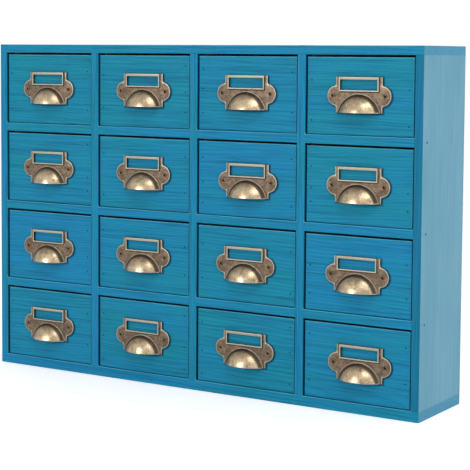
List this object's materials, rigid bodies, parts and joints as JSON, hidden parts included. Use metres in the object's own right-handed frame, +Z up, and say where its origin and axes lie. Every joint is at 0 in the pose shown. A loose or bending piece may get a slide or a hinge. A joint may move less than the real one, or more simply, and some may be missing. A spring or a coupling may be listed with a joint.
{
  "type": "sewing thread drawer cabinet",
  "caption": "Shallow tabletop cabinet of nailed, blue-stained boards with a grid of inset sliding drawers, each with a cast cup pull and a label-card window.",
  "frame": {"origin": "centre of the case's underside, which rests on the table", "axes": "+Z up; +X to the right along the rows of drawers; the drawer fronts face -Y and slide out along -Y"},
  "size_m": [0.5202, 0.1092, 0.36],
  "materials": {
    "stained_wood": "satin",
    "stained_drawer_front": "satin",
    "bare_wood": "matte",
    "plywood": "matte",
    "aged_brass": "aged",
    "nail": "darkened"
  },
  "bodies": {
    "case": {"top_board": "stained_wood", "bottom_board": "stained_wood", "left_side": "stained_wood", "right_side": "stained_wood", "back_panel": "plywood", "divider_1": "stained_wood", "divider_2": "stained_wood", "divider_3": "stained_wood", "shelf_row_1": "stained_wood", "shelf_row_2": "stained_wood", "shelf_row_3": "stained_wood", "case_nails": "nail"},
    "drawer_r1c1": {"drawer_front_r1c1": "stained_drawer_front", "drawer_tray_r1c1": "bare_wood", "drawer_pull_r1c1": "aged_brass"},
    "drawer_r1c2": {"drawer_front_r1c2": "stained_drawer_front", "drawer_tray_r1c2": "bare_wood", "drawer_pull_r1c2": "aged_brass"},
    "drawer_r1c3": {"drawer_front_r1c3": "stained_drawer_front", "drawer_tray_r1c3": "bare_wood", "drawer_pull_r1c3": "aged_brass"},
    "drawer_r1c4": {"drawer_front_r1c4": "stained_drawer_front", "drawer_tray_r1c4": "bare_wood", "drawer_pull_r1c4": "aged_brass"},
    "drawer_r2c1": {"drawer_front_r2c1": "stained_drawer_front", "drawer_tray_r2c1": "bare_wood", "drawer_pull_r2c1": "aged_brass"},
    "drawer_r2c2": {"drawer_front_r2c2": "stained_drawer_front", "drawer_tray_r2c2": "bare_wood", "drawer_pull_r2c2": "aged_brass"},
    "drawer_r2c3": {"drawer_front_r2c3": "stained_drawer_front", "drawer_tray_r2c3": "bare_wood", "drawer_pull_r2c3": "aged_brass"},
    "drawer_r2c4": {"drawer_front_r2c4": "stained_drawer_front", "drawer_tray_r2c4": "bare_wood", "drawer_pull_r2c4": "aged_brass"},
    "drawer_r3c1": {"drawer_front_r3c1": "stained_drawer_front", "drawer_tray_r3c1": "bare_wood", "drawer_pull_r3c1": "aged_brass"},
    "drawer_r3c2": {"drawer_front_r3c2": "stained_drawer_front", "drawer_tray_r3c2": "bare_wood", "drawer_pull_r3c2": "aged_brass"},
    "drawer_r3c3": {"drawer_front_r3c3": "stained_drawer_front", "drawer_tray_r3c3": "bare_wood", "drawer_pull_r3c3": "aged_brass"},
    "drawer_r3c4": {"drawer_front_r3c4": "stained_drawer_front", "drawer_tray_r3c4": "bare_wood", "drawer_pull_r3c4": "aged_brass"},
    "drawer_r4c1": {"drawer_front_r4c1": "stained_drawer_front", "drawer_tray_r4c1": "bare_wood", "drawer_pull_r4c1": "aged_brass"},
    "drawer_r4c2": {"drawer_front_r4c2": "stained_drawer_front", "drawer_tray_r4c2": "bare_wood", "drawer_pull_r4c2": "aged_brass"},
    "drawer_r4c3": {"drawer_front_r4c3": "stained_drawer_front", "drawer_tray_r4c3": "bare_wood", "drawer_pull_r4c3": "aged_brass"},
    "drawer_r4c4": {"drawer_front_r4c4": "stained_drawer_front", "drawer_tray_r4c4": "bare_wood", "drawer_pull_r4c4": "aged_brass"}
  },
  "joints": [
    {"name": "slide_r1c1", "type": "slide", "parent": "case", "child": "drawer_r1c1", "axis": [0, -1, 0], "range_m": [0, 0.07]},
    {"name": "slide_r1c2", "type": "slide", "parent": "case", "child": "drawer_r1c2", "axis": [0, -1, 0], "range_m": [0, 0.07]},
    {"name": "slide_r1c3", "type": "slide", "parent": "case", "child": "drawer_r1c3", "axis": [0, -1, 0], "range_m": [0, 0.07]},
    {"name": "slide_r1c4", "type": "slide", "parent": "case", "child": "drawer_r1c4", "axis": [0, -1, 0], "range_m": [0, 0.07]},
    {"name": "slide_r2c1", "type": "slide", "parent": "case", "child": "drawer_r2c1", "axis": [0, -1, 0], "range_m": [0, 0.07]},
    {"name": "slide_r2c2", "type": "slide", "parent": "case", "child": "drawer_r2c2", "axis": [0, -1, 0], "range_m": [0, 0.07]},
    {"name": "slide_r2c3", "type": "slide", "parent": "case", "child": "drawer_r2c3", "axis": [0, -1, 0], "range_m": [0, 0.07]},
    {"name": "slide_r2c4", "type": "slide", "parent": "case", "child": "drawer_r2c4", "axis": [0, -1, 0], "range_m": [0, 0.07]},
    {"name": "slide_r3c1", "type": "slide", "parent": "case", "child": "drawer_r3c1", "axis": [0, -1, 0], "range_m": [0, 0.07]},
    {"name": "slide_r3c2", "type": "slide", "parent": "case", "child": "drawer_r3c2", "axis": [0, -1, 0], "range_m": [0, 0.07]},
    {"name": "slide_r3c3", "type": "slide", "parent": "case", "child": "drawer_r3c3", "axis": [0, -1, 0], "range_m": [0, 0.07]},
    {"name": "slide_r3c4", "type": "slide", "parent": "case", "child": "drawer_r3c4", "axis": [0, -1, 0], "range_m": [0, 0.07]},
    {"name": "slide_r4c1", "type": "slide", "parent": "case", "child": "drawer_r4c1", "axis": [0, -1, 0], "range_m": [0, 0.07]},
    {"name": "slide_r4c2", "type": "slide", "parent": "case", "child": "drawer_r4c2", "axis": [0, -1, 0], "range_m": [0, 0.07]},
    {"name": "slide_r4c3", "type": "slide", "parent": "case", "child": "drawer_r4c3", "axis": [0, -1, 0], "range_m": [0, 0.07]},
    {"name": "slide_r4c4", "type": "slide", "parent": "case", "child": "drawer_r4c4", "axis": [0, -1, 0], "range_m": [0, 0.07]}
  ]
}
